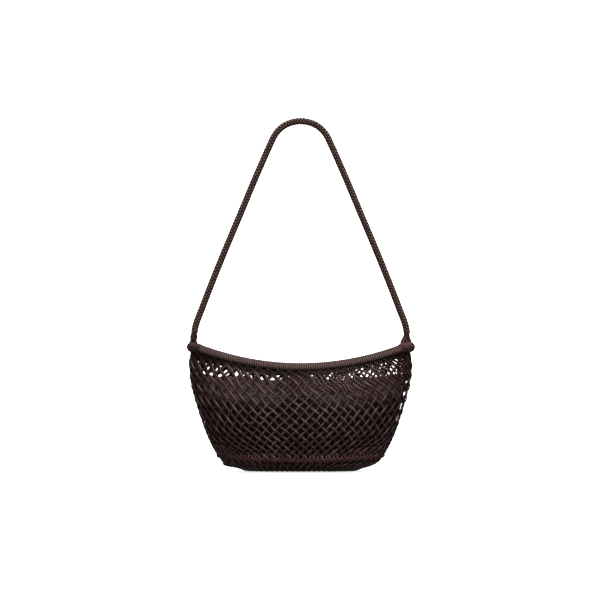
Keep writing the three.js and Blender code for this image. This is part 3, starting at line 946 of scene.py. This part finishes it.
def leather(name, plan):
    made, tree = newMaterial(name)
    place = addNode(tree, "TexCoord")
    onPiece = {"Vector": (place, "Object")}
    cloud, grain = (addNode(tree, "TexNoise", hidePlan[key], onPiece) for key in ("cloud", "grain"))
    tone, lift, edgeLightShade = (
        addNode(tree, "Attribute", {"attribute_name": key}) for key in ("tone", "lift", "edgeLightShade")
    )
    both = addNode(
        tree, "Math", {"operation": "MULTIPLY_ADD", 1: plan["tone"]},
        {0: (tone, "Fac"), 2: (cloud, "Fac")},
    )
    ramp = addNode(tree, "ValToRGB", {}, {"Fac": (both, "Value")})
    for element, at, key in zip(ramp.color_ramp.elements, hidePlan["ramp"], ("dark", "light")):
        element.position = at
        element.color = srgb(plan[key])
    # painted shade between the cords and a painted shadow along a strip's lower edge
    deep = addNode(
        tree, "MapRange",
        {"From Min": 0.0, "From Max": hidePlan["deepTo"], "To Min": plan["deep"], "To Max": 1.0},
        {"Value": (lift, "Fac")},
    )
    under = addNode(
        tree, "MapRange", {"From Min": -1.0, "From Max": 0.0, "To Min": hidePlan["lowerEdgeShade"]},
        {"Value": (edgeLightShade, "Fac")},
    )
    paintedShade = addNode(tree, "Math", times, {0: (deep, "Result"), 1: (under, "Result")})
    shaded = addNode(
        tree, "Mix", {"data_type": "RGBA", "blend_type": "MULTIPLY", "Factor": 1.0},
        {6: (ramp, "Color"), 7: (paintedShade, "Value")},
    )
    # rubbed pale where it stands out, and a painted highlight along a strip's upper edge, both more where
    # the tone is higher; the tone is partly random and partly painted light and shade
    pale = addNode(
        tree, "MapRange", {"From Min": hidePlan["wornFrom"], "From Max": 1.0},
        {"Value": (lift, "Fac")},
    )
    wearAndHighlight = addNode(
        tree, "Math",
        {"operation": "MULTIPLY_ADD", "use_clamp": True, 1: plan["edgeLightShade"], 2: plan["wear"]},
        {0: (edgeLightShade, "Fac")},
    )
    most = addNode(tree, "Math", times, {0: (wearAndHighlight, "Value"), 1: (pale, "Result")})
    byTone = addNode(tree, "MapRange", {"To Min": 1 - plan["rub"]}, {"Value": (tone, "Fac")})
    share = addNode(tree, "Math", times, {0: (most, "Value"), 1: (byTone, "Result")})
    wornAndShaded = addNode(
        tree, "Mix", {"data_type": "RGBA", 7: srgb(plan["pale"])},
        {"Factor": (share, "Value"), 6: (shaded, 2)},
    )
    rough = addNode(
        tree, "MapRange",
        {"To Min": plan["rough"] - hidePlan["roughLess"], "To Max": plan["rough"] + hidePlan["roughMore"]},
        {"Value": (grain, "Fac")},
    )
    bump = addNode(tree, "Bump", hidePlan["bump"], {"Height": (grain, "Fac")})
    shader = addNode(
        tree, "BsdfPrincipled", hidePlan["shader"],
        {"Base Color": (wornAndShaded, 2), "Roughness": (rough, "Result"), "Normal": (bump, "Normal")},
    )
    addNode(tree, "OutputMaterial", {}, {"Surface": (shader, "BSDF")})
    return made


# Pouch cloth: plain-woven cotton, matt grey-brown, with painted shade lower down that lifts towards its
# upper edge; threads really 0.5 mm apart, drawn 1.2 mm to show; sizes in millimetres
clothPlan = {
    "dark": "#0c0504",
    "light": "#564743",
    "ramp": (0.35, 0.7),
    "thread": 1.2,
    "waveBand": 0.314,  # spacing of a wave's bands at scale 1
    "weave": 0.4,       # how far the threads show in the colour
    "cloud": {"Scale": perMetre(16.7), "Detail": 4.0},
    # heights on the cloth between which the painted shade lifts
    "lowerShade": {"From Min": 92 * mm, "From Max": 118 * mm, "To Min": -0.45, "To Max": 0.05},
    "bump": {"Strength": 0.4, "Distance": 0.3 * mm},
    "shader": {
        "Roughness": 0.85, "Specular IOR Level": 0.1, "Sheen Weight": 0.03, "Sheen Roughness": 0.5,
    },
}


def cloth(name, plan):
    made, tree = newMaterial(name)
    flat = addNode(tree, "UVMap", {"uv_map": "UVMap"})
    place = addNode(tree, "TexCoord")
    scale = plan["waveBand"] / (plan["thread"] * mm)
    onCloth = {"Vector": (flat, "UV")}
    warp, weft = (
        addNode(tree, "TexWave", {"bands_direction": way, "Scale": scale}, onCloth)
        for way in "XY"
    )
    weave = addNode(tree, "Math", times, {0: (warp, "Fac"), 1: (weft, "Fac")})
    cloud = addNode(tree, "TexNoise", plan["cloud"], {"Vector": (place, "Object")})
    height = addNode(tree, "SeparateXYZ", {}, onCloth)
    lowerShaded = addNode(tree, "MapRange", plan["lowerShade"], {"Value": (height, "Y")})
    spots = addNode(
        tree, "Math", {"operation": "MULTIPLY_ADD", 1: plan["weave"]},
        {0: (weave, "Value"), 2: (cloud, "Fac")},
    )
    both = addNode(tree, "Math", {"operation": "ADD"}, {0: (spots, "Value"), 1: (lowerShaded, "Result")})
    ramp = addNode(tree, "ValToRGB", {}, {"Fac": (both, "Value")})
    for element, at, key in zip(ramp.color_ramp.elements, plan["ramp"], ("dark", "light")):
        element.position = at
        element.color = srgb(plan[key])
    bump = addNode(tree, "Bump", plan["bump"], {"Height": (weave, "Value")})
    looks = {"Base Color": (ramp, "Color"), "Normal": (bump, "Normal")}
    shader = addNode(tree, "BsdfPrincipled", plan["shader"], looks)
    addNode(tree, "OutputMaterial", {}, {"Surface": (shader, "BSDF")})
    return made


finishes = {name: leather(name, dict(zip(leatherKeys, row))) for name, row in leatherRows.items()}
finishes["pouchCotton"] = cloth("pouchCotton", clothPlan)
for piece, material, slot, nodes in (
    (strap, "braidedLeatherCord", "cord_leather", ["strap"]),
    (net, "waxedLeatherCord", "cord_leather", ["net_body"]),
    (rimLace, "boundLeatherLace", "bound_leather", ["rim"]),
    (rimCore, "boundLeatherLace", "bound_leather", []),
    (seam, "seamLeatherCord", "cord_leather", ["base_seam"]),
    (ties, "seamLeatherCord", "cord_leather", []),
    (base, "waxedLeatherCord", "cord_leather", ["base_net"]),
    (pouch, "pouchCotton", "pouch_cloth", ["inner_pouch"]),
    (wrapLeft, "wrapLeather", "bound_leather", ["end_wrap_left"]),
    (wrapRight, "woundLeatherLace", "bound_leather", ["end_wrap_right"]),
    (footLeft, "braidedLeatherCord", "cord_leather", ["strap_foot_left"]),
    (footRight, "braidedLeatherCord", "cord_leather", ["strap_foot_right"]),
):
    piece.data.materials.clear()
    piece.data.materials.append(finishes[material])
    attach(piece, "root")
    if nodes:
        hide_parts(*nodes)

tuple(strapPath[0])
[tuple(p) for p in strapPath]

# Floor and backdrop, one pale sheet, in metres
stagePlan = {
    "drop": 0.0006,  # below the flat of the base
    "width": 8.0,
    "back": 1.6,
    "front": 4.0,
    "height": 4.0,
    "bend": 0.8,
    "faces": (8, 120),
}


def stagePlace(u, v):
    front, back, bend = (stagePlan[key] for key in ("front", "back", "bend"))
    run = [front + back, bend * math.pi / 2, stagePlan["height"]]
    at = v * sum(run)
    floor = -bagForm["hangHeight"] * mm - stagePlan["drop"]
    x = (u - 0.5) * stagePlan["width"]
    if at < run[0]:
        return Vector((x, at - front, floor))
    if at < run[0] + run[1]:
        angle = (at - run[0]) / bend
        return Vector((x, back + bend * math.sin(angle), floor + bend * (1 - math.cos(angle))))
    return Vector((x, back + bend, floor + bend + at - run[0] - run[1]))


backdrop = gridPiece("backdrop", *stagePlan["faces"], stagePlace)
# the pale paper is lit for the camera alone and throws no light back up at the bag
backdrop.visible_diffuse = False
backdrop.visible_glossy = False
white = (1, 1, 1, 1)
paperPlan = {
    "grain": {"Scale": 400.0},
    "bump": {"Strength": 0.02},
    "shader": {
        "Base Color": srgb("#f7f7f7"), "Roughness": 0.9, "Emission Color": white, "Emission Strength": 0.75,
    },
}
paper, paperTree = newMaterial("whitePaper")
paperGrain = addNode(paperTree, "TexNoise", paperPlan["grain"])
paperBump = addNode(paperTree, "Bump", paperPlan["bump"], {"Height": (paperGrain, "Fac")})
paperShader = addNode(paperTree, "BsdfPrincipled", paperPlan["shader"], {"Normal": (paperBump, "Normal")})
addNode(paperTree, "OutputMaterial", {}, {"Surface": (paperShader, "BSDF")})
backdrop.data.materials.append(paper)

# Soft studio light: name, place, aim, size, watts
lightPlan = [
    ("overhead", (-0.2, -0.9, 1.8), (0, 0, -0.4), 2.2, 30),
    ("key", (-0.25, -2.3, 0.0), (0, 0, -0.37), 0.7, 22),
    ("glint", (0.9, -1.0, 1.0), (0, 0, -0.36), 0.5, 20),
    ("wallWash", (0.0, 0.8, 1.7), (0, 2.4, 0.1), 2.4, 90),
]
roomLight = 0.2
for name, place, aim, size, watts in lightPlan:
    lamp = bpy.data.lights.new(name, "AREA")
    lamp.energy = watts
    lamp.size = size
    lampObject = bpy.data.objects.new(name, lamp)
    lampObject.location = place
    lampObject.rotation_euler = (Vector(aim) - Vector(place)).to_track_quat("-Z", "Y").to_euler()
    bpy.context.scene.collection.objects.link(lampObject)
world = bpy.data.worlds.new("studio")
world.use_nodes = True
world.node_tree.nodes["Background"].inputs["Color"].default_value = white
world.node_tree.nodes["Background"].inputs["Strength"].default_value = roomLight
bpy.context.scene.world = world
bpy.context.scene.view_settings.view_transform = "Standard"
